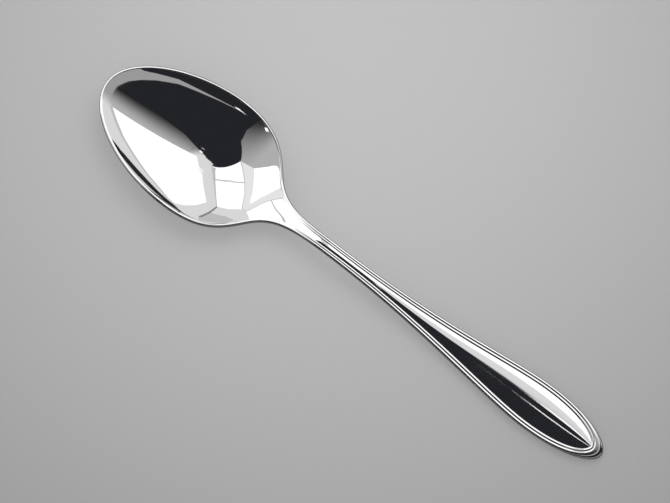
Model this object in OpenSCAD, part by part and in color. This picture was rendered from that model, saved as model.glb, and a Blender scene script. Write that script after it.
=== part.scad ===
// Tablespoon with a deep egg-shaped bowl, a slim neck and a leaf-shaped handle.
// Two raised threads follow the edge of the handle and turn round its end, with a softly
// ridged panel between them and a short rounded nose beyond them.
// All lengths are in millimetres. X runs from the bowl to the handle, Y across and Z up.
// The spoon lies face up on z = 0, on the floor of its bowl and the end of its handle.
// A real one is a single forged blank. Bowl and handle are lofted from the same sections
// and share the section at the narrowest place of the neck, where they meet face to face.

/* [Overall] */
// Length from the tip of the bowl to the end of the handle
spoon_len = 205; // [190:1:225]

/* [Bowl] */
// Width across the rim at the widest place
bowl_w = 45; // [40:0.5:50]
// Distance from the tip of the bowl to its widest place
bowl_widest = 41; // [37:0.5:45]
// Depth from the rim to the floor, taken in the middle of the metal
bowl_depth = 9.0; // [7:0.1:12]
// Steepness of the wall at the rim, where 1 gives a parabola
wall_steepness = 1.1; // [1:0.05:1.5]
// Thickness of the metal in the floor of the bowl
floor_t = 2.0; // [1.3:0.1:2.4]
// Thickness of the rounded rim of the bowl and edge of the handle
edge_t = 1.4; // [1:0.1:1.7]
// Rise of the rim from the widest place to the tip
tip_rise = 0.6; // [0:0.1:1.5]

/* [Bowl outline] */
// Curve arm across the tip: a larger arm gives a blunter tip
tip_arm = 12.3; // [10:0.1:14]
// Curve arm along the rim, ahead of the widest place
front_arm = 19.5; // [15:0.5:24]
// Curve arm along the rim, behind the widest place
rear_arm = 16.5; // [12:0.5:20]

/* [Neck] */
// Distance from the tip of the bowl to the middle of the shoulders
shoulder_at = 67; // [64:0.5:70]
// Width across the middle of the shoulders
shoulder_w = 19; // [16:0.5:22]
// Angle at which the shoulders run in towards the neck
shoulder_angle = 48; // [42:1:54]
// Curve arm from the shoulders back towards the bowl
shoulder_rear_arm = 7.5; // [5:0.5:10]
// Curve arm from the shoulders on towards the neck
shoulder_front_arm = 9; // [7:0.5:11]
// Drop of the edge from the widest place of the bowl to the shoulders
shoulder_drop = 3.0; // [1.5:0.1:4]
// Distance from the tip of the bowl to the start of its thickened heel
heel_at = 50; // [44:1:58]
// Length over which the heel grows into the underside of the neck
heel_run_in = 28; // [20:1:34]
// Distance from the tip of the bowl to the narrowest place
neck_at = 95; // [91:0.5:100]
// Width at the narrowest place
neck_w = 5.1; // [4.4:0.1:6.5]
// Height of the neck's edge above the table
neck_z = 7.6; // [6:0.1:9]
// Curve arm of the neck towards the bowl
neck_rear_arm = 15; // [12:0.5:18]
// Curve arm of the neck towards the handle
neck_front_arm = 42; // [34:1:48]

/* [Handle] */
// Width of the leaf at its widest place
leaf_w = 17; // [14:0.5:20]
// Distance from the leaf's widest place to the end of the handle
leaf_from_end = 26; // [22:0.5:32]
// Curve arm of the leaf towards the neck
leaf_rear_arm = 16; // [12:0.5:20]
// Curve arm of the leaf towards its end
leaf_front_arm = 16; // [12:0.5:18]
// Curve arm across the end: a larger arm gives a blunter end
end_arm = 4.2; // [3:0.1:6]
// Dip of the handle's edge below a straight line, half way along
handle_dip = 1.8; // [0:0.1:2.4]
// Swell of the underside below the edge, on the leaf
leaf_belly = 1.4; // [0.8:0.1:1.8]
// Swell of the underside below the edge, at the neck
neck_belly = 2.0; // [1.2:0.1:2.6]
// Length of the nose, from the turn of the outer thread to the end of the handle
nose_len = 3.2; // [2:0.1:5]
// Curve arm across the turn of the outer thread: a larger arm gives a blunter turn
turn_arm = 3.0; // [2:0.1:4]
// Distance from that turn back to the end of the panel's middle line
turn_depth = 2.3; // [1.5:0.1:3]
// Length by which the outer thread keeps the leaf's width beyond the outline's arm
turn_lead = 1.0; // [0:0.1:2]
// Length by which the middle line's arm stays behind the outline's arm
fan_lag = 0.5; // [0:0.1:2]
// Fall from the middle of the edge to the foremost line of the nose
nose_fall = 1.0; // [0.4:0.1:1.2]

/* [Threads and panel] */
// Spacing of the two threads on the leaf
thread_pitch = 1.0; // [0.8:0.05:1.2]
// Spacing of the two threads at the neck
neck_thread_pitch = 0.7; // [0.6:0.05:0.85]
// Length behind the neck over which that spacing widens to the leaf's
pitch_run = 55; // [40:1:70]
// Depth of the grooves beside the threads
groove_depth = 0.16; // [0.1:0.02:0.3]
// Distance from the middle of the shoulders to the start of the threads
thread_lead = 5; // [2:1:8]
// Length over which the threads grow to their full height
thread_run_in = 32; // [24:1:40]
// Angle at which the panel rises from its border, on the leaf
panel_angle = 5; // [3:0.5:12]
// Angle at which the panel rises from its border, at the neck
neck_panel_angle = 10; // [5:0.5:15]
// Roundness of the panel's ridge, where 1 gives a sharp ridge and 2 an even arch
ridge_power = 1.25; // [1.1:0.05:2]
// Length over which the ridge comes down towards the end
panel_taper = 10; // [6:1:16]

/* [Hidden] */
steel = "silver";

// Steps along the five curves of the outline, from the tip to the end
CURVE_STEPS = [16, 14, 14, 22, 12];
// Steps across: to a thread, to half the panel and half the underside, and round the edge
THREAD_STEPS = 4;
PANEL_STEPS = 5;
UNDER_STEPS = 4;
EDGE_ANGLES = [60, 30, 0, -30, -60];

edge_r = edge_t / 2;
// The border holds the groove inside the edge, one thread and the groove beside the panel
border_threads = 1.5;
border_steps = border_threads * THREAD_STEPS;
leaf_at = spoon_len - leaf_from_end;
turn_at = spoon_len - nose_len;
bowl_half = bowl_w / 2 - edge_r;
floor_gain = (floor_t - edge_t) / 2;

// Heights of the middle of the edge, which put the floor and the handle's end on the table
rim_z = bowl_depth + floor_t / 2;
turn_z = leaf_belly + edge_r;
edge_line = [
    [0, rim_z + tip_rise],
    [bowl_widest, rim_z],
    [shoulder_at, rim_z - shoulder_drop],
    [neck_at, neck_z],
    [(neck_at + turn_at) / 2, (neck_z + turn_z) / 2 - handle_dip],
    [turn_at, turn_z]
];

function unit(v) = v / norm(v);
function limit(v) = max(0, min(1, v));
function smooth(v) = let(s = limit(v)) s * s * (3 - 2 * s);
function blend(a, b, s) = a + (b - a) * s;

// Cubic curve with two end points and two arms, and its direction
function bezier(p, t) =
    let(s = 1 - t)
    s * s * s * p[0] + 3 * s * s * t * p[1] + 3 * s * t * t * p[2] + t * t * t * p[3];
function bezier_way(p, t) =
    let(s = 1 - t)
    s * s * (p[1] - p[0]) + 2 * s * t * (p[2] - p[1]) + t * t * (p[3] - p[2]);

// Smooth curve through a list of points, height by distance
function knot(x, p, k = 0) = k < len(p) - 2 && x > p[k + 1].x ? knot(x, p, k + 1) : k;
function knot_slope(p, k) =
    let(a = p[max(0, k - 1)], b = p[min(len(p) - 1, k + 1)])
    (b.y - a.y) / (b.x - a.x);
function through(x, p) =
    let(
        k = knot(x, p),
        span = p[k + 1].x - p[k].x,
        t = limit((x - p[k].x) / span),
        s = t * t * (3 - 2 * t),
        arms = t * (1 - t) * ((1 - t) * knot_slope(p, k) - t * knot_slope(p, k + 1))
    )
    blend(p[k].y, p[k + 1].y, s) + span * arms;

// Half of the outline, seen from above, as five curves
shoulder = [shoulder_at, shoulder_w / 2];
shoulder_way = [cos(shoulder_angle), -sin(shoulder_angle)];
outline_curves = [
    [
        [0, 0],
        [0, tip_arm],
        [bowl_widest - front_arm, bowl_w / 2],
        [bowl_widest, bowl_w / 2]
    ],
    [
        [bowl_widest, bowl_w / 2],
        [bowl_widest + rear_arm, bowl_w / 2],
        shoulder - shoulder_rear_arm * shoulder_way,
        shoulder
    ],
    [
        shoulder,
        shoulder + shoulder_front_arm * shoulder_way,
        [neck_at - neck_rear_arm, neck_w / 2],
        [neck_at, neck_w / 2]
    ],
    [
        [neck_at, neck_w / 2],
        [neck_at + neck_front_arm, neck_w / 2],
        [leaf_at - leaf_rear_arm, leaf_w / 2],
        [leaf_at, leaf_w / 2]
    ],
    [
        [leaf_at, leaf_w / 2],
        [leaf_at + leaf_front_arm, leaf_w / 2],
        [spoon_len, end_arm],
        [spoon_len, 0]
    ]
];

// The outer thread leaves the outline on its last curve and turns ahead of the nose
turn_curve = [
    [leaf_at, leaf_w / 2 - edge_r],
    [leaf_at + leaf_front_arm + turn_lead, leaf_w / 2 - edge_r],
    [turn_at, turn_arm],
    [turn_at, 0]
];
// Middle line behind the leaf's widest place, where the sections fan out towards the end
fan_curve = [
    [leaf_at, 0],
    [leaf_at + leaf_front_arm - fan_lag, 0],
    [turn_at - turn_depth, 0],
    [turn_at - turn_depth, 0]
];

// Each station holds the middle of the edge's round, the way from there to the outline, and
// the place on the middle line that its section runs to
function outward(p, t) = let(way = unit(bezier_way(p, t))) [-way.y, way.x];
function station(c, t) =
    let(
        point = bezier(outline_curves[c], t),
        way = edge_r * outward(outline_curves[c], t),
        turn = bezier(turn_curve, t)
    )
    c < 4 ? [point - way, way, [(point - way).x, 0]] : [turn, point - turn, bezier(fan_curve, t)];
stations = concat(
    [
        for (c = [0 : len(outline_curves) - 1], k = [0 : CURVE_STEPS[c] - 1])
            station(c, k / CURVE_STEPS[c])
    ],
    [station(4, 1)]
);
last = len(stations) - 1;
neck_index = CURVE_STEPS[0] + CURVE_STEPS[1] + CURVE_STEPS[2];
leaf_index = neck_index + CURVE_STEPS[3];

function at_x(i) = stations[i][0].x;
function half(i) = max(0, stations[i][0].y);
function rim_way(i) = stations[i][1];
// Distance from the edge to the middle line, along the section, and the way outwards
function reach(i) = norm(stations[i][0] - stations[i][2]);
function lead(i) = i > 0 ? unit(stations[i][0] - stations[i][2]) : [0, 1];
// Place on one side of the section, d in from the middle of the edge's round
function spot(i, side, d) = [at_x(i) - d * lead(i).x, side * (half(i) - d * lead(i).y)];

// The bowl is full ahead of the shoulders and has run out at the neck
function bowl_share(x) = 1 - smooth((x - shoulder_at) / (neck_at - shoulder_at));
// The underside of the neck grows from the heel of the bowl
function heel_share(x) = smooth((x - heel_at) / heel_run_in);
// The threads and the panel grow from behind the shoulders
function handle_share(x) = smooth((x - shoulder_at - thread_lead) / thread_run_in);
// The leaf's measures take over from the neck's
function leaf_share(x) = smooth((x - neck_at) / (leaf_at - neck_at));
// The nose grows with the distance from the outer thread to the outline
function nose_share(i) = limit((norm(rim_way(i)) - edge_r) / (nose_len - edge_r));

// Place across the bowl: 0 on the rim and 1 over the floor
function inside(i, y) = (half(i) * half(i) - y * y) / (bowl_half * bowl_half);
function inside_slope(i) =
    let(a = max(0, i - 1), b = min(last, i + 1))
    (half(b) * half(b) - half(a) * half(a)) / (at_x(b) - at_x(a)) / (bowl_half * bowl_half);
function depth(q) = bowl_depth * (wall_steepness * q - (wall_steepness - 1) * q * q);
function depth_slope(q) = bowl_depth * (wall_steepness - 2 * (wall_steepness - 1) * q);

// Middle surface of the metal and its two slopes
function middle(i, p) =
    [p.x, p.y, through(p.x, edge_line) - bowl_share(p.x) * depth(inside(i, p.y))];
function slope_y(i, p) =
    bowl_share(p.x) * depth_slope(inside(i, p.y)) * 2 * p.y / (bowl_half * bowl_half);
SLOPE_STEP = 0.05;
function slope_x(i, p) =
    let(
        q = inside(i, p.y),
        edge = through(p.x + SLOPE_STEP, edge_line) - through(p.x - SLOPE_STEP, edge_line),
        share = bowl_share(p.x + SLOPE_STEP) - bowl_share(p.x - SLOPE_STEP)
    )
    i == neck_index ? 0
        : (edge - share * depth(q)) / (2 * SLOPE_STEP)
            - bowl_share(p.x) * depth_slope(q) * inside_slope(i);
function up(i, p) = unit([-slope_x(i, p), -slope_y(i, p), 1]);

// Threads and panel on top of the handle
function pitch(i) =
    min(
        blend(neck_thread_pitch, thread_pitch, limit((at_x(i) - neck_at) / pitch_run)),
        reach(i) / (border_threads + 1)
    );
function border(i) = border_threads * pitch(i);
function groove(i) = groove_depth * pitch(i) / thread_pitch;
function panel(i) = reach(i) - border(i);
// The ridge rises with the panel's width, and on the fan it follows the middle line down
function rise(i) = tan(blend(neck_panel_angle, panel_angle, leaf_share(at_x(i))));
function to_end(i) = limit((turn_at - border(last) - stations[i][2].x) / panel_taper);
function ridge(i) =
    i <= leaf_index ? rise(i) * panel(i) / ridge_power
        : ridge(leaf_index) * (1 - pow(1 - to_end(i), 2));
function handle_relief(i, d) =
    d < border(i) ? -groove(i) * (1 - cos(360 * d / pitch(i))) / 2
        : ridge(i) * (1 - pow(limit((reach(i) - d) / panel(i)), ridge_power)) - groove(i);

// Metal above and below the middle surface
function over(i, p, d) =
    let(share = handle_share(p.x))
    edge_r + (1 - share) * floor_gain * inside(i, p.y)
        + (share > 0 ? share * handle_relief(i, d) : 0);
function belly(x) = heel_share(x) * blend(neck_belly, leaf_belly, leaf_share(x));
function under(i, p, d) =
    let(s = i > 0 ? 1 - d / reach(i) : 1)
    edge_r + (1 - handle_share(p.x)) * floor_gain * inside(i, p.y)
        + belly(p.x) * (1 - s * s * (1 - nose_share(i)));
function top_point(i, side, d) =
    let(p = spot(i, side, d))
    middle(i, p) + over(i, p, d) * up(i, p);
function under_point(i, side, d) =
    let(p = spot(i, side, d))
    middle(i, p) - under(i, p, d) * up(i, p);
// The edge is half a circle, which the nose draws out to half an oval
function edge_point(i, side, angle) =
    let(
        p = spot(i, side, 0),
        way = [rim_way(i).x, side * rim_way(i).y],
        level = norm(way) * unit([way.x, way.y, slope_x(i, p) * way.x + slope_y(i, p) * way.y]),
        fall = nose_fall * nose_share(i),
        swell = belly(p.x) * nose_share(i),
        rise = edge_r + (angle > 0 ? fall : swell - fall)
    )
    middle(i, p) + cos(angle) * level + (rise * sin(angle) - fall) * up(i, p);

// Places across half a section, from the edge to the middle line
function top_steps(i) =
    concat(
        [for (k = [0 : border_steps]) border(i) * k / border_steps],
        [for (k = [1 : PANEL_STEPS]) blend(border(i), reach(i), k / PANEL_STEPS)]
    );
function under_steps(i) = [for (k = [0 : UNDER_STEPS]) reach(i) * k / UNDER_STEPS];
TOP = border_steps + PANEL_STEPS;
ROUND = len(EDGE_ANGLES);
LOOP = 2 * TOP + 1 + 2 * UNDER_STEPS + 1 + 2 * ROUND;

// A section runs over the top, round one edge, back below and round the other edge
function section(i) =
    let(d = top_steps(i), e = under_steps(i))
    concat(
        [for (k = [0 : TOP]) top_point(i, 1, d[k])],
        [for (k = [TOP - 1 : -1 : 0]) top_point(i, -1, d[k])],
        [for (a = EDGE_ANGLES) edge_point(i, -1, a)],
        [for (k = [0 : UNDER_STEPS]) under_point(i, -1, e[k])],
        [for (k = [UNDER_STEPS - 1 : -1 : 0]) under_point(i, 1, e[k])],
        [for (k = [ROUND - 1 : -1 : 0]) edge_point(i, 1, EDGE_ANGLES[k])]
    );
// At the end of the handle both halves of the section fall together
function folded(i) =
    let(d = top_steps(i), e = under_steps(i))
    concat(
        [for (k = [0 : TOP]) top_point(i, 1, d[TOP - k])],
        [for (a = EDGE_ANGLES) edge_point(i, 1, a)],
        [for (k = [0 : UNDER_STEPS]) under_point(i, 1, e[k])]
    );
// At the tip of the bowl the section is no wider than the round of its edge
function arc(i) =
    concat([top_point(i, 1, 0)], [for (a = EDGE_ANGLES) edge_point(i, 1, a)], [under_point(i, 1, 0)]);
function ring(i) = i == 0 ? arc(i) : i == last ? folded(i) : section(i);

// Place in a narrower ring that stands for place k of a whole section
function fold(k) =
    k <= 2 * TOP ? TOP - min(k, 2 * TOP - k)
        : k <= 2 * TOP + ROUND ? k - TOP
        : k <= 2 * TOP + ROUND + 1 + 2 * UNDER_STEPS
            ? let(m = k - 2 * TOP - ROUND - 1) TOP + ROUND + 1 + min(m, 2 * UNDER_STEPS - m)
        : LOOP - k + TOP;
function narrow(i, k) =
    i == last ? fold(k) : max(0, min(ROUND + 1, fold(k) - TOP));

// Lowest point of the whole underside, which is lifted onto the table
lift = -min([for (i = [0 : last]) for (p = ring(i)) p.z]);

// Skin over the sections from one station to another, closed by a face at the neck
function is_whole(i) = i > 0 && i < last;
function ring_start(a, i) = i == a ? 0 : len(ring(a)) + (i - a - 1) * LOOP;
function place(start, i, k) = start + (is_whole(i) ? k % LOOP : narrow(i, k % LOOP));
function is_face(f) = f[0] != f[1] && f[1] != f[2] && f[2] != f[0];
// The two halves are split into triangles as mirror images of each other
function is_mirrored(k) = k >= TOP && k <= 2 * TOP || k > 2 * TOP + ROUND + UNDER_STEPS;
function skin(a, b) = [
    for (i = [a : b - 1])
        let(here = ring_start(a, i), next = ring_start(a, i + 1))
        for (k = [0 : LOOP - 1])
            let(
                p = place(here, i, k),
                q = place(here, i, k + 1),
                r = place(next, i + 1, k + 1),
                s = place(next, i + 1, k),
                pair = is_mirrored(k) ? [[p, s, q], [q, s, r]] : [[p, r, q], [p, s, r]]
            )
            for (f = pair) if (is_face(f)) f
];
// The cut at the neck is a fan of triangles about a hub inside it
hub = [neck_at, 0, neck_z - neck_belly / 2];
function cap(a, b, turn) =
    let(start = ring_start(a, neck_index), middle = ring_start(a, b) + len(ring(b)))
    [
        for (k = [0 : LOOP - 1])
            let(p = start + k, q = start + (k + 1) % LOOP)
            turn > 0 ? [middle, p, q] : [middle, q, p]
    ];
module loft(a, b, turn) {
    rings = concat([for (i = [a : b]) each ring(i)], [hub]);
    points = [for (p = rings) p + [-spoon_len / 2, 0, lift]];
    polyhedron(points, concat(skin(a, b), cap(a, b, turn)), convexity = 6);
}

module bowl() color(steel) loft(0, neck_index, -1);
module handle() color(steel) loft(neck_index, last, 1);

bowl();
handle();
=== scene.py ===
# %% [markdown]
# # A tablespoon of polished steel
# The spoon is one piece of stainless steel, pressed in dies and polished to a mirror. A mirror
# has hardly a colour of its own. What the eye reads is the shape of the skin, through the way
# it bends the reflection of the room. So this lesson spends its effort on two things: a smooth
# skin with well set normals, and a studio worth reflecting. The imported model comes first, because
# every piece here has to lie where its solid lies.

# %% Load the frame
import math

import bpy
import numpy as np
from mathutils import Matrix, Vector


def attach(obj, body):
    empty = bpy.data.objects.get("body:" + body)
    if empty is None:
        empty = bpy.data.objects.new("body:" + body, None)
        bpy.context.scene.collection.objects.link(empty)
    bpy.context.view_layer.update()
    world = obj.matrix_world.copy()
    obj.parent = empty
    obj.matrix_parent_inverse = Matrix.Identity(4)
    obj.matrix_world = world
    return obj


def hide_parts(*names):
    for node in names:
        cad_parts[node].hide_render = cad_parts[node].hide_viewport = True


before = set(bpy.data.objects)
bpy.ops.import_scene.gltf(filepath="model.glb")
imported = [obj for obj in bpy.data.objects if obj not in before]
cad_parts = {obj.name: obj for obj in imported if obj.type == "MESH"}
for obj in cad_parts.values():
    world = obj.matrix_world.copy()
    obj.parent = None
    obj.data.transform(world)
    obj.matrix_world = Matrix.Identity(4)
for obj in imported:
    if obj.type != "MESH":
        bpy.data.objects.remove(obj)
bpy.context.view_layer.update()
MM = 0.001
TINY = 1e-9
print("nodes in the frame:", len(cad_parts))

# %% [markdown]
# ## The outline
# Seen from above, half of the spoon is one line: round the tip, along the rim, in at the
# shoulders, along the slim neck, out to the leaf of the handle and round its end. It could be
# traced with many points, but a maker would draw it with a few curves and pull their arms. Five
# cubic curves do that here. Lengths are in millimetres, measured from the tip of the bowl.

# %% Five curves for half of the outline
SPOON_LEN = 205.0
BOWL_W = 45.0
BOWL_WIDEST = 41.0
TIP_ARM = 12.3
FRONT_ARM = 19.5
REAR_ARM = 16.5
SHOULDER_AT = 67.0
SHOULDER_W = 19.0
SHOULDER_ANGLE = math.radians(48.0)
SHOULDER_REAR_ARM = 7.5
SHOULDER_FRONT_ARM = 9.0
NECK_AT = 95.0
NECK_W = 5.1
NECK_REAR_ARM = 15.0
NECK_FRONT_ARM = 42.0
LEAF_W = 17.0
LEAF_FROM_END = 26.0
LEAF_AT = SPOON_LEN - LEAF_FROM_END
LEAF_REAR_ARM = 16.0
LEAF_FRONT_ARM = 16.0
END_ARM = 4.2

shoulder = np.array([SHOULDER_AT, SHOULDER_W / 2])
shoulder_way = np.array([math.cos(SHOULDER_ANGLE), -math.sin(SHOULDER_ANGLE)])
shoulder_rear = shoulder - SHOULDER_REAR_ARM * shoulder_way
shoulder_front = shoulder + SHOULDER_FRONT_ARM * shoulder_way
widest = [BOWL_WIDEST, BOWL_W / 2]
neck = [NECK_AT, NECK_W / 2]
leaf = [LEAF_AT, LEAF_W / 2]
outline = [
    [[0, 0], [0, TIP_ARM], [BOWL_WIDEST - FRONT_ARM, BOWL_W / 2], widest],
    [widest, [BOWL_WIDEST + REAR_ARM, BOWL_W / 2], shoulder_rear, shoulder],
    [shoulder, shoulder_front, [NECK_AT - NECK_REAR_ARM, NECK_W / 2], neck],
    [neck, [NECK_AT + NECK_FRONT_ARM, NECK_W / 2], [LEAF_AT - LEAF_REAR_ARM, LEAF_W / 2], leaf],
    [leaf, [LEAF_AT + LEAF_FRONT_ARM, LEAF_W / 2], [SPOON_LEN, END_ARM], [SPOON_LEN, 0]],
]


def bezier(points, t):
    """Places on a cubic curve at the steps t, and the unit directions out of the outline there."""
    p = np.array(points, dtype=float)
    t = t[:, None]
    s = 1.0 - t
    place = s**3 * p[0] + 3 * s**2 * t * p[1] + 3 * s * t**2 * p[2] + t**3 * p[3]
    way = s**2 * (p[1] - p[0]) + 2 * s * t * (p[2] - p[1]) + t**2 * (p[3] - p[2])
    way /= np.maximum(np.linalg.norm(way, axis=1, keepdims=True), TINY)
    return place, np.column_stack([-way[:, 1], way[:, 0]])


print("outline:", len(outline), "curves over", SPOON_LEN, "mm")

# %% [markdown]
# ## Stations along the edge
# The rim and the edge of the handle are rounded like a bead, so each station is the middle of
# that bead, half the edge's thickness in from the outline. At the end of the handle the outer
# thread leaves the outline and turns ahead of a short rounded nose. There the sections fan out
# from the middle line, which lets the threads turn the corner at an even width.

# %% Stations
EDGE_T = 1.4
EDGE_R = EDGE_T / 2
NOSE_LEN = 3.2
TURN_ARM = 3.0
TURN_DEPTH = 2.3
TURN_LEAD = 1.0
FAN_LAG = 0.5
CURVE_STEPS = [80, 64, 64, 120, 72]
CURVES_TO_NECK = 3

turn_at = SPOON_LEN - NOSE_LEN
leaf_half = LEAF_W / 2 - EDGE_R
turn_curve = [
    [LEAF_AT, leaf_half],
    [LEAF_AT + LEAF_FRONT_ARM + TURN_LEAD, leaf_half],
    [turn_at, TURN_ARM],
    [turn_at, 0],
]
fan_end = [turn_at - TURN_DEPTH, 0]
fan_curve = [[LEAF_AT, 0], [LEAF_AT + LEAF_FRONT_ARM - FAN_LAG, 0], fan_end, fan_end]

edge = []
rim_way = []
foot = []
for points, steps in zip(outline[:-1], CURVE_STEPS):
    place, outward = bezier(points, np.arange(steps) / steps)
    bead = place - EDGE_R * outward
    edge.append(bead)
    rim_way.append(EDGE_R * outward)
    foot.append(bead * [1, 0])
last_steps = np.linspace(0, 1, CURVE_STEPS[-1] + 1)
turn = bezier(turn_curve, last_steps)[0]
edge.append(turn)
rim_way.append(bezier(outline[-1], last_steps)[0] - turn)
foot.append(bezier(fan_curve, last_steps)[0])
edge = np.vstack(edge)
edge[:, 1] = np.maximum(edge[:, 1], 0.0)
rim_way = np.vstack(rim_way)
foot = np.vstack(foot)

x_at = edge[:, 0]
half = edge[:, 1]
reach = np.linalg.norm(edge - foot, axis=1)
lead = (edge - foot) / np.maximum(reach, TINY)[:, None]
# The first station has no width, so its direction is given.
lead[0] = [0.0, 1.0]
neck_ring = sum(CURVE_STEPS[:CURVES_TO_NECK])
print("stations:", len(edge), "and the neck's cut is at station", neck_ring)

# %% [markdown]
# ## The middle of the metal
# The edge rises and falls along the spoon: highest at the tip, lower at the shoulders, over the
# neck and down to the end of the handle. Below that edge the bowl hangs like a shallow dish,
# deepest where the spoon is widest. Writing it as a height over each place keeps the surface
# smooth, and its slopes give the direction that the metal's thickness is laid on.

# %% Heights along the spoon
BOWL_DEPTH = 9.0
FLOOR_T = 2.0
TIP_RISE = 0.6
SHOULDER_DROP = 3.0
NECK_Z = 7.6
HANDLE_DIP = 1.8
LEAF_BELLY = 1.4

rim_z = BOWL_DEPTH + FLOOR_T / 2
turn_z = LEAF_BELLY + EDGE_R
mid_handle = (NECK_AT + turn_at) / 2
knots = np.array([
    [0, rim_z + TIP_RISE],
    [BOWL_WIDEST, rim_z],
    [SHOULDER_AT, rim_z - SHOULDER_DROP],
    [NECK_AT, NECK_Z],
    [mid_handle, (NECK_Z + turn_z) / 2 - HANDLE_DIP],
    [turn_at, turn_z],
])


def smooth(v):
    """Eases from 0 to 1 with level ends."""
    s = np.clip(v, 0.0, 1.0)
    return s * s * (3 - 2 * s)


def edge_z(x):
    """Height of the edge: a smooth curve through the knots."""
    ahead = np.append(knots[1:], knots[-1:], axis=0)
    behind = np.insert(knots[:-1], 0, knots[0], axis=0)
    slopes = (ahead[:, 1] - behind[:, 1]) / (ahead[:, 0] - behind[:, 0])
    k = np.clip(np.searchsorted(knots[:, 0], x) - 1, 0, len(knots) - 2)
    span = knots[k + 1, 0] - knots[k, 0]
    t = np.clip((x - knots[k, 0]) / span, 0.0, 1.0)
    arms = t * (1 - t) * ((1 - t) * slopes[k] - t * slopes[k + 1])
    return knots[k, 1] + (knots[k + 1, 1] - knots[k, 1]) * t * t * (3 - 2 * t) + span * arms


def bowl_share(x):
    """Full ahead of the shoulders, nothing at the neck."""
    return 1 - smooth((x - SHOULDER_AT) / (NECK_AT - SHOULDER_AT))


print("edge before it is set down:", rim_z + TIP_RISE, "mm at the tip,", NECK_Z, "mm at the neck")

# %% Middle surface
WALL_STEEPNESS = 1.1
SLOPE_STEP = 0.05

bowl_half = BOWL_W / 2 - EDGE_R
half_square_slope = np.gradient(half**2, x_at)[:, None] / bowl_half**2


def middle(d, side):
    """Middle surface d mm in from the edge: places, directions up, share of the depth, slopes."""
    x = x_at[:, None] - d * lead[:, :1]
    y = side * (half[:, None] - d * lead[:, 1:])
    q = (half[:, None] ** 2 - y**2) / bowl_half**2
    depth = BOWL_DEPTH * (WALL_STEEPNESS * q - (WALL_STEEPNESS - 1) * q * q)
    steep = BOWL_DEPTH * (WALL_STEEPNESS - 2 * (WALL_STEEPNESS - 1) * q) * bowl_share(x)
    z = edge_z(x) - bowl_share(x) * depth
    rise = edge_z(x + SLOPE_STEP) - edge_z(x - SLOPE_STEP)
    run_out = bowl_share(x + SLOPE_STEP) - bowl_share(x - SLOPE_STEP)
    slope_x = (rise - run_out * depth) / (2 * SLOPE_STEP) - steep * half_square_slope
    slope_y = steep * 2 * y / bowl_half**2
    up = np.stack([-slope_x, -slope_y, np.ones_like(x)], axis=-1)
    up /= np.linalg.norm(up, axis=-1, keepdims=True)
    return np.stack([x, y, z], axis=-1), up, q, slope_x, slope_y


bowl_floor = middle(reach[:, None], 1)[0][..., 2].min() - FLOOR_T / 2
print("floor of the bowl before it is set down:", round(bowl_floor, 3), "mm")

# %% [markdown]
# ## Threads, panel and belly
# Two raised threads run along the edge of the handle, with a groove beside each. Between them
# lies a panel that rises to a soft ridge along its middle. A bump map could draw the threads, but
# they show in the outline of every reflection, so they are modelled: a cosine for the threads and
# a power a little over 1 for the ridge. Below, the handle swells and the heel is thick.

# %% Relief along the handle
THREAD_PITCH = 1.0
NECK_THREAD_PITCH = 0.7
PITCH_RUN = 55.0
BORDER_THREADS = 1.5
GROOVE_DEPTH = 0.16
THREAD_LAG = 5.0
THREAD_AT = SHOULDER_AT + THREAD_LAG
THREAD_RUN_IN = 32.0
PANEL_ANGLE = 5.0
NECK_PANEL_ANGLE = 10.0
PANEL_POWER = 1.25
PANEL_TAPER = 10.0
HEEL_AT = 50.0
HEEL_RUN_IN = 28.0
NECK_BELLY = 2.0
LEAST_REACH = 1e-6

along_handle = np.clip((x_at - NECK_AT) / (LEAF_AT - NECK_AT), 0.0, 1.0)
leaf_share = smooth(along_handle)
widening = np.clip((x_at - NECK_AT) / PITCH_RUN, 0.0, 1.0)
pitch = NECK_THREAD_PITCH + (THREAD_PITCH - NECK_THREAD_PITCH) * widening
pitch = np.minimum(pitch, np.maximum(reach, LEAST_REACH) / (BORDER_THREADS + 1))
border = BORDER_THREADS * pitch
panel = np.maximum(reach - border, TINY)
groove = GROOVE_DEPTH * pitch / THREAD_PITCH
panel_angle = NECK_PANEL_ANGLE + (PANEL_ANGLE - NECK_PANEL_ANGLE) * leaf_share
dome = np.tan(np.radians(panel_angle)) * panel / PANEL_POWER
leaf_ring = sum(CURVE_STEPS[:-1])
panel_end = turn_at - border[-1]
to_end = np.clip((panel_end - foot[leaf_ring:, 0]) / PANEL_TAPER, 0.0, 1.0)
dome[leaf_ring:] = dome[leaf_ring] * (1 - (1 - to_end) ** 2)
swelling = NECK_BELLY + (LEAF_BELLY - NECK_BELLY) * leaf_share
belly = smooth((x_at - HEEL_AT) / HEEL_RUN_IN) * swelling
nose_share = (np.linalg.norm(rim_way, axis=1) - EDGE_R) / (NOSE_LEN - EDGE_R)
nose_share = np.clip(nose_share, 0.0, 1.0)
leaf_crest = float(dome[leaf_ring] - groove[leaf_ring])
print("panel crest on the leaf:", round(leaf_crest, 2), "mm above the threads")

# %% Top, underside and edge
NOSE_FALL = 1.0
floor_gain = FLOOR_T / 2 - EDGE_R


def top_points(d, side):
    """Upper skin: the bowl's inside, growing into the threads and the panel of the handle."""
    place, up, q, _, _ = middle(d, side)
    share = smooth((place[..., 0] - THREAD_AT) / THREAD_RUN_IN)
    waves = -groove[:, None] * (1 - np.cos(2 * np.pi * d / pitch[:, None])) / 2
    across = (reach[:, None] - d) / panel[:, None]
    crest = dome[:, None] * (1 - np.clip(across, 0.0, 1.0) ** PANEL_POWER) - groove[:, None]
    relief = np.where(d < border[:, None], waves, crest)
    over = EDGE_R + (1 - share) * floor_gain * q + share * relief
    return place + over[..., None] * up


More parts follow.
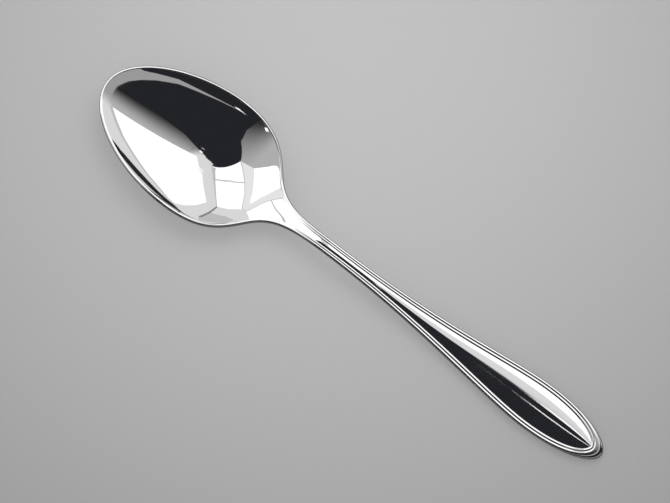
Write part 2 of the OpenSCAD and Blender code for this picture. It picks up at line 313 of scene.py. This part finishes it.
def under_points(d, side):
    """Lower skin: the back of the bowl, its heel and the swelled underside of the handle."""
    place, up, q, _, _ = middle(d, side)
    share = smooth((place[..., 0] - THREAD_AT) / THREAD_RUN_IN)
    across = np.where(reach[:, None] > 0, 1 - d / np.maximum(reach, TINY)[:, None], 1.0)
    swell = belly[:, None] * (1 - across**2 * (1 - nose_share[:, None]))
    under = EDGE_R + (1 - share) * floor_gain * q + swell
    return place - under[..., None] * up


def edge_points(angle, side):
    """One line round the bead of the edge, which the nose draws out to half an oval."""
    place, up, _, slope_x, slope_y = middle(np.zeros((len(x_at), 1)), side)
    way = rim_way * [1, side]
    climb = slope_x[:, 0] * way[:, 0] + slope_y[:, 0] * way[:, 1]
    level = np.column_stack([way, climb])
    level *= (np.linalg.norm(way, axis=1) / np.linalg.norm(level, axis=1))[:, None]
    fall = NOSE_FALL * nose_share
    rise = EDGE_R + (fall if angle > 0 else belly * nose_share - fall)
    lift = rise * math.sin(angle) - fall
    return place[:, 0] + math.cos(angle) * level + lift[:, None] * up[:, 0]


metal = top_points(reach[:, None], 1)[..., 2] - under_points(reach[:, None], 1)[..., 2]
print("metal in the middle of the neck:", round(float(metal[neck_ring, 0]), 2), "mm")

# %% [markdown]
# ## One skin, then two pieces
# Each station now gives a closed loop: over the top, round one edge, back below and round the
# other edge. Joining neighbouring loops with four-sided faces makes the skin. A subdivision
# modifier could smooth a coarse cage, but it would pull the threads away from the solids, so
# the loops are laid close instead. At the tip and the end many points fall together, and they
# are merged. Normals are taken from the whole skin before it is cut at the neck, so that no
# seam shows in the reflections where the bowl's piece meets the handle's.

# %% Closed loops
THREAD_STEPS = 16
PANEL_STEPS = 52
UNDER_STEPS = 36
EDGE_STEPS = 12

border_steps = int(BORDER_THREADS * THREAD_STEPS)
top_d = np.column_stack([
    border[:, None] * np.arange(border_steps + 1) / border_steps,
    border[:, None] + panel[:, None] * np.arange(1, PANEL_STEPS + 1) / PANEL_STEPS,
])
under_d = reach[:, None] * np.arange(UNDER_STEPS + 1) / UNDER_STEPS
angles = np.linspace(90, -90, EDGE_STEPS + 2)[1:-1]
near_edge = [edge_points(math.radians(a), 1) for a in angles]
far_edge = [edge_points(math.radians(a), -1) for a in angles]
near_top = top_points(top_d, 1)
far_top = top_points(top_d, -1)
near_under = under_points(under_d, 1)
far_under = under_points(under_d, -1)
loops = np.concatenate([
    near_top,
    far_top[:, -2::-1],
    np.stack(far_edge, axis=1),
    far_under,
    near_under[:, -2::-1],
    np.stack(near_edge[::-1], axis=1),
], axis=1)
loops -= [SPOON_LEN / 2, 0, loops[..., 2].min()]
print("skin:", loops.shape[0], "loops of", loops.shape[1], "points")

# %% Merge points and make faces
MERGE_MM = 0.002
NO_AREA = 1e-12

ring_count, loop_size = loops.shape[:2]
cells = np.round(loops.reshape(-1, 3) / MERGE_MM).astype(np.int64)
_, first, merged = np.unique(cells, axis=0, return_index=True, return_inverse=True)
points = loops.reshape(-1, 3)[first]
merged = merged.reshape(ring_count, loop_size)
here = merged[:-1]
ahead = merged[1:]
quads = np.stack([here, np.roll(here, -1, axis=1), np.roll(ahead, -1, axis=1), ahead], axis=-1)

diagonal = points[quads[..., 2]] - points[quads[..., 0]]
other_diagonal = points[quads[..., 3]] - points[quads[..., 1]]
crossing = np.cross(diagonal, other_diagonal)
normals = np.zeros_like(points)
for corner in range(quads.shape[-1]):
    np.add.at(normals, quads[..., corner], crossing)
normals /= np.maximum(np.linalg.norm(normals, axis=1, keepdims=True), NO_AREA)
print("points after merging:", len(points))

# %% [markdown]
# ## What the polishing leaves
# The felt wheel wears the ridge of the panel round, more on one side than on the other, and it
# brings the threads out further up the heel. That turns the skin by a few degrees. As shape it
# would be tenths of a millimetre, which hardly show by themselves, yet a mirror doubles every
# degree. The mesh has to stay on the solids, so it is left as it is and only the normals are
# turned: across the panel by the wear, along it by an even bend, and on the first threads.

# %% Turned normals
POLISH_AT = 64.0
POLISH_RUN_IN = 36.0
ROUND_RUN_IN = 25.0
ROUND_FROM = -0.29
ROUND_OVER = 1.79
ROUND_STEEP = 1.7
ROUND_SHIFT = 0.4
SHIFT_AT = 115.0
SHIFT_RUN = 50.0
LEVEL_NECK = 0.02
LEVEL_END = -0.048
LEAST_SPREAD = 1.0
PAST_BORDER = 1.01


def polish(ids, d, side):
    """Turns the normals on one half of the top, where the points have these ids."""
    place, up, _, _, _ = middle(d, side)
    x = place[..., 0]
    turned = normals[ids].copy()
    gained = smooth((x - POLISH_AT) / POLISH_RUN_IN) - smooth((x - THREAD_AT) / THREAD_RUN_IN)
    steep = GROOVE_DEPTH / THREAD_PITCH * np.pi * np.sin(2 * np.pi * d / pitch[:, None])
    tilt = np.where(d < border[:, None], gained * steep, 0.0)
    turned[..., 0] -= tilt * lead[:, :1]
    turned[..., 1] -= tilt * lead[:, 1:] * side
    spread = np.maximum(np.interp(x, x_at, half) - border[:, None], LEAST_SPREAD)
    shift = ROUND_SHIFT * (1 - smooth((x - SHIFT_AT) / SHIFT_RUN))
    across = place[..., 1] / spread + shift
    worn = (1 + ROUND_STEEP) * smooth((across - ROUND_FROM) / ROUND_OVER) - 1
    up[..., 0] = LEVEL_NECK + (LEVEL_END - LEVEL_NECK) * (x - NECK_AT) / (SPOON_LEN - NECK_AT)
    up[..., 1] += math.tan(math.radians(PANEL_ANGLE)) * worn
    on_panel = d > PAST_BORDER * border[:, None]
    part = np.where(on_panel, smooth((x - NECK_AT) / ROUND_RUN_IN), 0.0)[..., None]
    turned = (1 - part) * turned + part * up
    normals[ids] = turned / np.linalg.norm(turned, axis=-1, keepdims=True)


top_size = top_d.shape[1]
polish(merged[:, :top_size], top_d, 1)
polish(merged[:, top_size : 2 * top_size - 1], top_d[:, -2::-1], -1)
print("normals turned on", 2 * top_size - 1, "lines")


# %% Cut the skin into the two pieces
def skin_piece(name, rings, cap_normal):
    """A closed mesh from some of the rings of faces, with the whole skin's normals."""
    faces = []
    for quad in quads[rings].reshape(-1, 4):
        corners = list(dict.fromkeys(int(c) for c in quad))
        if len(corners) > 2:
            faces.append(corners)
    cut = [int(c) for c in merged[neck_ring]]
    cap = cut if cap_normal[0] > 0 else cut[::-1]
    faces.append(cap)
    used = sorted({c for face in faces for c in face})
    new_index = {c: k for k, c in enumerate(used)}
    mesh = bpy.data.meshes.new(name)
    outlines = [[new_index[c] for c in face] for face in faces]
    mesh.from_pydata((points[used] * MM).tolist(), [], outlines)
    mesh.polygons.foreach_set("use_smooth", [True] * (len(faces) - 1) + [False])
    loop_normals = [normals[c] for face in faces[:-1] for c in face] + [cap_normal] * len(cap)
    mesh.normals_split_custom_set([tuple(n) for n in loop_normals])
    mesh.validate()
    piece = bpy.data.objects.new(name, mesh)
    bpy.context.scene.collection.objects.link(piece)
    print(name, "has", len(mesh.vertices), "points and", len(mesh.polygons), "faces")
    return piece


spoon_bowl = skin_piece("spoon_bowl", slice(0, neck_ring), (1.0, 0.0, 0.0))
spoon_handle = skin_piece("spoon_handle", slice(neck_ring, None), (-1.0, 0.0, 0.0))

# %% [markdown]
# ## Mirror-polished stainless steel
# The spoon is 18/10 stainless steel, rolled, pressed and polished on felt wheels. That leaves a
# clear mirror, a little darker than silver. What tells it from a perfect mirror is a trace of
# haze in the highlights and a skin that is very slightly uneven from the wheel. Metallic 1 with
# a low roughness gives the mirror. Two noises, stretched along the spoon as the wheel runs, give
# the haze and the unevenness.


# %% Helpers for materials
def linear(hex_colour):
    """An sRGB hex colour as linear red, green and blue with an alpha of 1."""
    parts = [int(hex_colour[k : k + 2], 16) / 255 for k in (1, 3, 5)]
    return [p / 12.92 if p <= 0.04045 else ((p + 0.055) / 1.055) ** 2.4 for p in parts] + [1.0]


def add_node(tree, kind, inputs=None, **settings):
    """Adds a node with its settings, and fills each input with a value or a link."""
    made = tree.nodes.new(kind)
    for name, value in settings.items():
        setattr(made, name, value)
    for name, value in (inputs or {}).items():
        if isinstance(value, bpy.types.NodeSocket):
            tree.links.new(value, made.inputs[name])
        else:
            made.inputs[name].default_value = value
    return made


def new_material(name):
    """A material without nodes, and its node tree."""
    made = bpy.data.materials.new(name)
    made.use_nodes = True
    made.node_tree.nodes.clear()
    return made, made.node_tree


print("the grey #808080 in linear light:", round(linear("#808080")[0], 3))

# %% Haze and ripple of the steel
HAZE_MM = 6.0
HAZE_DETAIL = 4.0
HAZE_FROM = 0.3
HAZE_TO = 0.7
CLEAR = 0.015
HAZY = 0.04
WHEEL_MM = 9.0
WHEEL_DETAIL = 1.0
WHEEL_STRETCH = 0.35
WHEEL_RIPPLE_MM = 0.0004

steel, tree = new_material("stainless_steel_felt_polished")
place = add_node(tree, "ShaderNodeTexCoord").outputs["Object"]
along = add_node(tree, "ShaderNodeMapping", {"Vector": place, "Scale": (WHEEL_STRETCH, 1.0, 1.0)})
haze = add_node(
    tree,
    "ShaderNodeTexNoise",
    {"Vector": along.outputs["Vector"], "Scale": 1 / (HAZE_MM * MM), "Detail": HAZE_DETAIL},
)
rough = add_node(
    tree,
    "ShaderNodeMapRange",
    {
        "Value": haze.outputs["Fac"],
        "From Min": HAZE_FROM,
        "From Max": HAZE_TO,
        "To Min": CLEAR,
        "To Max": HAZY,
    },
)
wheel = add_node(
    tree,
    "ShaderNodeTexNoise",
    {"Vector": along.outputs["Vector"], "Scale": 1 / (WHEEL_MM * MM), "Detail": WHEEL_DETAIL},
)
ripple = add_node(
    tree,
    "ShaderNodeBump",
    {"Height": wheel.outputs["Fac"], "Strength": 1.0, "Distance": WHEEL_RIPPLE_MM * MM},
)
print("roughness from", CLEAR, "to", HAZY, "in spots of", HAZE_MM, "mm")

# %% Steel on both pieces
shader = add_node(
    tree,
    "ShaderNodeBsdfPrincipled",
    {
        "Base Color": linear("#cecece"),
        "Metallic": 1.0,
        "Roughness": rough.outputs["Result"],
        "Normal": ripple.outputs["Normal"],
    },
)
add_node(tree, "ShaderNodeOutputMaterial", {"Surface": shader.outputs["BSDF"]})
for piece, node in ((spoon_bowl, "bowl"), (spoon_handle, "handle")):
    piece.data.materials.append(steel)
    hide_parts(node)
    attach(piece, "root")
print("steel on", spoon_bowl.name, "and", spoon_handle.name)

# %% [markdown]
# ## The camera
# The spoon is seen from nearly straight above, tilted a little towards the near side, through a
# long lens, and it lies at an angle across the picture. Working out the camera from the
# direction of view keeps that angle a plain number that can be changed.

# %% Camera
VIEW_TILT = math.radians(13.0)
SPOON_TURN = math.radians(37.39)
VIEW_DISTANCE = 0.750
PIXELS_PER_MM = 3.003
PICTURE_W = 670
SENSOR_W = 36.0
AIM_ALONG = 94.47
AIM_ACROSS = 1.68
AIM = Vector((AIM_ALONG - SPOON_LEN / 2, AIM_ACROSS, 0.0)) * MM

picture_right = Vector((math.cos(SPOON_TURN), math.sin(SPOON_TURN), 0.0))
picture_far = Vector((-math.sin(SPOON_TURN), math.cos(SPOON_TURN), 0.0))
up = Vector((0.0, 0.0, 1.0))
towards_camera = math.cos(VIEW_TILT) * up - math.sin(VIEW_TILT) * picture_far
picture_up = math.cos(VIEW_TILT) * picture_far + math.sin(VIEW_TILT) * up

camera = bpy.data.objects.new("camera", bpy.data.cameras.new("camera"))
camera.data.sensor_width = SENSOR_W
camera.data.lens = PIXELS_PER_MM / MM * VIEW_DISTANCE / PICTURE_W * SENSOR_W
turned = Matrix((picture_right, picture_up, towards_camera)).transposed()
camera.matrix_world = Matrix.Translation(AIM + VIEW_DISTANCE * towards_camera) @ turned.to_4x4()
bpy.context.scene.collection.objects.link(camera)
bpy.context.scene.camera = camera
print("lens:", round(camera.data.lens, 1), "mm")

# %% [markdown]
# ## The sheet
# The spoon lies on a board with a matt painted face, which scatters the light and shows hardly a
# gloss. A painted pool of light lies in its colour: palest beyond the middle of the spoon and
# darker towards the edges of the picture. A lamp close by could make that fall-off, but it would
# throw a hard shadow too, so the fall-off is painted into the board's colour. The tooth of the
# paint is drawn coarser than it is, at a size that can show. Seen in the steel, the board is
# painted darker than it is, a painted shade that stands for its shadow beside the spoon. That gives
# the rounded edges of the spoon their thin dark outline.

# %% Pale sheet
SHEET_HALF = 6.0

sheet_mesh = bpy.data.meshes.new("pale_sheet")
corners = [(-SHEET_HALF, -SHEET_HALF, 0), (SHEET_HALF, -SHEET_HALF, 0)]
corners += [(SHEET_HALF, SHEET_HALF, 0), (-SHEET_HALF, SHEET_HALF, 0)]
sheet_mesh.from_pydata(corners, [], [(0, 1, 2, 3)])
pale_sheet = bpy.data.objects.new("pale_sheet", sheet_mesh)
bpy.context.scene.collection.objects.link(pale_sheet)
print("sheet:", 2 * SHEET_HALF, "m across")

# %% Painted pool of light in the board's colour
SHEET_GRAIN_MM = 1.5
PALEST_RIGHT = -5.0
PALEST_FAR = 65.0
LIGHT_POOL_REACH = 0.34
LIGHT_POOL_END = 0.45

paper, tree = new_material("matt_backdrop_board")
place = add_node(tree, "ShaderNodeTexCoord").outputs["Object"]
grain = add_node(tree, "ShaderNodeTexNoise", {"Vector": place, "Scale": 1 / (SHEET_GRAIN_MM * MM)})
tint = add_node(
    tree,
    "ShaderNodeMix",
    {"Factor": grain.outputs["Fac"], "A": linear("#c0c0c0"), "B": linear("#c2c2c2")},
    data_type="RGBA",
)
# Painted light: the board's colour is palest at this spot and falls off around it.
palest = AIM + MM * (PALEST_RIGHT * picture_right + PALEST_FAR * picture_far)
away = add_node(tree, "ShaderNodeVectorMath", operation="DISTANCE")
tree.links.new(place, away.inputs[0])
away.inputs[1].default_value = palest
painted_light_pool = add_node(
    tree,
    "ShaderNodeMapRange",
    {"Value": away.outputs["Value"], "From Max": LIGHT_POOL_REACH, "To Min": 1.0, "To Max": LIGHT_POOL_END},
    interpolation_type="SMOOTHSTEP",
)
pool_lit_tint = add_node(tree, "ShaderNodeVectorMath", operation="SCALE")
tree.links.new(tint.outputs["Result"], pool_lit_tint.inputs[0])
tree.links.new(painted_light_pool.outputs["Result"], pool_lit_tint.inputs["Scale"])
print("board fades to", LIGHT_POOL_END, "of its colour over", LIGHT_POOL_REACH, "m")

# %% Matt board with a painted glow and a painted shade in the steel
# Painted light: the board glows by itself, so the spoon's shadow on it stays faint.
SHEET_GLOW = 0.4
SHEET_SHADE_FOR_STEEL = "#707070"

# Painted shade: seen in the steel, the board turns a darker grey, which stands for its shadow
# beside the spoon and draws the thin dark outline on the rounded edges.
path = add_node(tree, "ShaderNodeLightPath").outputs
glossy_shade_mask = add_node(tree, "ShaderNodeMath", operation="SUBTRACT", use_clamp=True)
tree.links.new(path["Is Glossy Ray"], glossy_shade_mask.inputs[0])
tree.links.new(path["Diffuse Depth"], glossy_shade_mask.inputs[1])
board_shaded_for_steel = add_node(
    tree,
    "ShaderNodeMix",
    {
        "Factor": glossy_shade_mask.outputs["Value"],
        "A": pool_lit_tint.outputs["Vector"],
        "B": linear(SHEET_SHADE_FOR_STEEL),
    },
    data_type="RGBA",
)
shader = add_node(
    tree,
    "ShaderNodeBsdfPrincipled",
    {
        "Base Color": board_shaded_for_steel.outputs["Result"],
        "Roughness": 0.9,
        "Specular IOR Level": 0.2,
        "Emission Color": board_shaded_for_steel.outputs["Result"],
        "Emission Strength": SHEET_GLOW,
    },
)
add_node(tree, "ShaderNodeOutputMaterial", {"Surface": shader.outputs["BSDF"]})
sheet_mesh.materials.append(paper)
print("board's own glow:", SHEET_GLOW)

# %% [markdown]
# ## The tent
# A mirror shows the room, so a room is built: a tent of lit white cloth over the far side of the
# spoon, open and dark towards the camera. Area lamps would show in the steel as plain rectangles.
# Glowing panels of cloth can be cut to any outline, with seams, folds and frames between them.
# To a mirror only directions count, so the panels hang at one height and their corners are counted
# in that height. Bars and slits hang just in front, and one cloth hangs low beside the spoon.
# Light from the cloth stays off the sheet, which has light of its own.

# %% A helper that hangs cloth
TENT_H = 6.0
MIDDLE_ALONG = 35.0
MIDDLE_UP = 6.0
BOWL_MIDDLE = Vector((MIDDLE_ALONG - SPOON_LEN / 2, 0.0, MIDDLE_UP)) * MM
IN_FRONT = 0.01
hung = []


def hang(name, bright, corners, drop=0.0, fade=None):
    """A lit panel. Corners count tent heights to the picture's right and to its far side.

    A fade gives the direction that the cloth gets brighter in, where that starts and ends, and
    the light at its start.
    """
    spots = []
    for r, f in corners:
        spot = r * picture_right + f * picture_far + (1 - drop) * up
        spots.append(BOWL_MIDDLE + TENT_H * spot)
    mesh = bpy.data.meshes.new(name)
    mesh.from_pydata(spots, [], [list(range(len(spots)))])
    cloth, tree = new_material("lit_cloth_" + name)
    glow = add_node(tree, "ShaderNodeEmission", {"Strength": bright})
    if fade:
        (r, f), start, end, dim = fade
        place = add_node(tree, "ShaderNodeTexCoord").outputs["Object"]
        way = (r * picture_right + f * picture_far).normalized() / TENT_H
        shift = way.dot(BOWL_MIDDLE)
        dot = add_node(tree, "ShaderNodeVectorMath", operation="DOT_PRODUCT")
        tree.links.new(place, dot.inputs[0])
        dot.inputs[1].default_value = way
        ramp = {"From Min": start + shift, "From Max": end + shift, "To Min": dim, "To Max": bright}
        ramp["Value"] = dot.outputs["Value"]
        ease = add_node(tree, "ShaderNodeMapRange", ramp, interpolation_type="SMOOTHSTEP")
        tree.links.new(ease.outputs["Result"], glow.inputs["Strength"])
    add_node(tree, "ShaderNodeOutputMaterial", {"Surface": glow.outputs["Emission"]})
    mesh.materials.append(cloth)
    made = bpy.data.objects.new(name, mesh)
    made.visible_diffuse = False
    bpy.context.scene.collection.objects.link(made)
    hung.append(name)


print("tent:", TENT_H, "m over the bowl's middle")

# %% Outlines that neighbours share
right_edge = [(0.85, 0.31), (1.24, 1.06), (1.91, 2.57), (2.51, 4.11), (3.67, 6.79)]
right_sill = [(3.67, 6.79), (2.32, 4.47), (1.39, 2.93), (0.82, 2.02), (0.51, 1.53)]
right_end = (9.0, 19.0)
seam_right = [(0.51, 1.53), (0.46, 1.21), (0.41, 0.98), (0.36, 0.8), (0.31, 0.67), (0.26, 0.56)]
seam_right += [(0.21, 0.467), (0.168, 0.403), (0.133, 0.312), (0.1, 0.22)]
seam_left = [(0.04, 0.23), (0.07, 0.28), (0.1, 0.36), (0.13, 0.45), (0.16, 0.56), (0.18, 0.68)]
seam_left += [(0.2, 0.84), (0.22, 1.04), (0.24, 1.7)]
middle_left = [(-0.82, 2.4), (-0.66, 1.03), (-0.54, 0.55), (-0.46, 0.22), (-0.42, -0.04)]
flap_left = [(-0.8, 0.16), (-0.86, 0.45), (-0.96, 1.09), (-0.92, 1.63), (-0.85, 2.2)]
left_top = [(-0.8, 0.16), (-1.69, 0.3), (-2.37, 0.35), (-8.0, 0.9)]
left_far = [(-1.0, 3.0), (-1.6, 20.0)]
sill_fold = [(0.24, 1.7), (0.66, 2.78), (2.2, 6.62), (6.0, 20.0)]
far_line = [(0.66, 2.78), (-0.23, 3.94), (-0.89, 6.02), (-1.2, 20.0)]
tip_line = [(0.82, 0.2), (0.71, 0.08), (0.5, -0.19)]
tip_fade = ((0.7, 0.7), 0.5, 1.0, 0.52)
print("seam between the windows:", len(seam_right) + len(seam_left), "corners")

# %% Right window and the seam
WHITE = 1.75
PALE = 1.1
GREY = 0.8

hang("right_window", WHITE, right_edge + right_sill[1:] + seam_right[1:])
frame_edge = [(0.88, 0.31), (1.29, 1.06), (2.0, 2.6), (2.66, 4.2), (3.9, 7.0)]
hang("right_frame", GREY, right_edge + frame_edge[::-1], drop=IN_FRONT)
cloth_rim = [(2.2, 2.1), (2.5, 2.9), (3.0, 4.16), (3.87, 6.23), (4.9, 9.0)]
tip_end = [(2.2, 1.6), (1.8, 0.5), (1.3, 0.2), (0.82, 0.2)]
hang("right_cloth", PALE, right_edge + [right_end] + cloth_rim[::-1] + tip_end, fade=tip_fade)
seam_foot = [(0.0, 0.14), (0.01, 0.19)]
seam_end = right_sill[-2::-1] + [right_end] + sill_fold[::-1]
hang("seam", PALE, seam_right[::-1] + seam_end + seam_left[-2::-1] + seam_foot[::-1])
print("hung so far:", len(hung))

# %% Middle window and its flap
FLAP = 1.25
FRAME_W = 0.025

hang("middle_window", WHITE, seam_left + [(-0.32, 2.16)] + middle_left)
bar = [(0.14, 0.44), (0.14, 0.47), (-0.12, 0.43), (-0.52, 0.53), (-0.51, 0.49), (-0.12, 0.395)]
hang("middle_bar", GREY, bar, drop=IN_FRONT)
frame_right = [(r - FRAME_W, f) for r, f in seam_left[::-1]]
hang("middle_frame_right", GREY, seam_left + frame_right, drop=IN_FRONT)
frame_left = [(r + FRAME_W, f) for r, f in middle_left[::-1]]
hang("middle_frame_left", GREY, middle_left + frame_left, drop=IN_FRONT)
hang("flap", FLAP, middle_left[::-1] + flap_left[::-1])
print("hung so far:", len(hung))

# %% Left window and far end
SILL_SHADOW = 0.35

hang("left_window", WHITE, flap_left + left_far + [(-8.0, 20.0)] + left_top[:0:-1])
far_end = left_far[::-1] + [(-0.85, 2.2), (-0.82, 2.4), (-0.32, 2.16)]
hang("far_cloth", PALE, sill_fold[:1] + far_line + far_end)
hang("far_wall", GREY, far_line + sill_fold[:1:-1])
sill_under = [(2.0, 6.8), (0.58, 2.9), (0.2, 1.78)]
hang("sill_shadow", SILL_SHADOW, sill_fold[:3] + sill_under, drop=IN_FRONT)
print("hung so far:", len(hung))

# %% Walls that fade into the dark, and slits of light
LEFT_WALL = 0.68
RIGHT_WALL = 0.7

left_foot = [(-8.0, -6.0), (-1.5, -1.21), (-0.93, -0.78), (-0.59, -0.43)]
left_fade = ((-0.33, 0.94), -0.75, 0.36, 0.04)
hang("left_wall", LEFT_WALL, middle_left[-1:] + left_top + left_foot, fade=left_fade)
right_foot = tip_line + [(0.23, -0.14), (0.06, -0.04), (0.03, 0.07), (0.0, 0.14)]
right_fade = ((0.1, 1.0), -0.16, 0.33, 0.01)
hang("right_wall", RIGHT_WALL, [(0.1, 0.22), (0.85, 0.31)] + right_foot, fade=right_fade)
corner = [(0.0, 0.14), (0.1, 0.22), (0.16, 0.23), (0.06, 0.09)]
corner_fade = ((-0.62, 0.78), 0.04, 0.109, 0.35)
hang("corner", PALE, corner, drop=IN_FRONT, fade=corner_fade)
slit = [(-0.002, 0.102), (0.016, 0.125), (0.031, 0.114), (0.013, 0.091)]
hang("slit", WHITE, slit, drop=IN_FRONT)
thin_slit = [(-0.044, 0.048), (-0.04, 0.052), (-0.025, 0.041), (-0.029, 0.036)]
hang("thin_slit", WHITE, thin_slit, drop=IN_FRONT)
print("hung so far:", len(hung))

# %% Near side and low cloth
NEAR_WALL = 0.55
LOW_CLOTH = 0.9
LOW_DROP = 0.8

near_line = tip_line + [(0.29, -0.42), (0.11, -0.59), (-0.1, -0.77), (-0.4, -0.99)]
near_line += [(-0.65, -1.09), (-0.93, -1.19), (-1.33, -1.3)]
near_hem = [(-1.36, -1.32), (-0.96, -1.24), (-0.71, -1.19), (-0.49, -1.15), (-0.18, -0.95)]
near_hem += [(-0.03, -0.84), (0.15, -0.85), (0.7, -0.4), (1.3, 0.2)]
hang("near_cloth", PALE, near_line + near_hem, fade=tip_fade)
near_gap = [(-1.29, -1.29), (-1.39, -1.32), (-1.39, -1.37), (-1.29, -1.34)]
hang("near_gap", WHITE, near_gap, drop=IN_FRONT)
left_gap = [(-1.9, -1.08), (-2.2, -1.12), (-2.2, -1.3), (-1.95, -1.25)]
hang("left_gap", WHITE, left_gap, drop=IN_FRONT)
near_wall = [(-2.6, -2.4), (-1.2, -3.3), (0.6, -3.2), (1.5, -2.6), (2.1, -1.6), (2.9, -0.8)]
near_wall += [(6.2, -2.4), (4.2, -5.0), (0.8, -6.4), (-2.2, -6.2), (-5.0, -4.4)]
hang("near_wall", NEAR_WALL, near_wall)
low_edge = [(0.53, 0.52), (0.78, 0.95), (1.02, 1.38), (1.6, 2.54), (2.5, 4.5)]
low_foot = [(12.0, 9.0), (12.0, 0.5), (0.62, 0.1)]
hang("low_cloth", LOW_CLOTH, low_edge + low_foot, drop=LOW_DROP)
print("lit panels in all:", len(hung))

# %% [markdown]
# ## Light on the sheet
# A board between cloths is lit from all sides and hardly shows a shadow. The cloth above is made
# for the steel, and its light would throw one. So the board glows faintly and has light of its
# own, which the steel doesn't show: a dim sky from all round, and a small soft box low over the
# far side, which leaves a faint shadow on the near side of the spoon.

# %% Room and soft box
FILL = 0.45
BOX_H = 0.35
BOX_RIGHT = 60.0
BOX_FAR = 200.0
BOX_SIZE = 0.3
BOX_WATTS = 0.28

world = bpy.data.worlds.new("dark_room")
world.use_nodes = True
tree = world.node_tree
tree.nodes.clear()
path = add_node(tree, "ShaderNodeLightPath").outputs
unseen = add_node(tree, "ShaderNodeMath", operation="ADD", use_clamp=True)
tree.links.new(path["Diffuse Depth"], unseen.inputs[0])
tree.links.new(path["Is Camera Ray"], unseen.inputs[1])
room = add_node(
    tree,
    "ShaderNodeMix",
    {"Factor": unseen.outputs["Value"], "A": linear("#2d2e33"), "B": (FILL, FILL, FILL, 1.0)},
    data_type="RGBA",
)
sky = add_node(tree, "ShaderNodeBackground", {"Color": room.outputs["Result"]})
add_node(tree, "ShaderNodeOutputWorld", {"Surface": sky.outputs["Background"]})
bpy.context.scene.world = world
bpy.context.scene.view_settings.view_transform = "Standard"

lamp = bpy.data.lights.new("soft_box", "AREA")
lamp.energy = BOX_WATTS
lamp.size = BOX_SIZE
soft_box = bpy.data.objects.new("soft_box", lamp)
soft_box.location = AIM + MM * (BOX_RIGHT * picture_right + BOX_FAR * picture_far) + BOX_H * up
soft_box.visible_glossy = False
soft_box.visible_camera = False
bpy.context.scene.collection.objects.link(soft_box)
print("soft box:", BOX_WATTS, "W at", BOX_H, "m over the sheet")
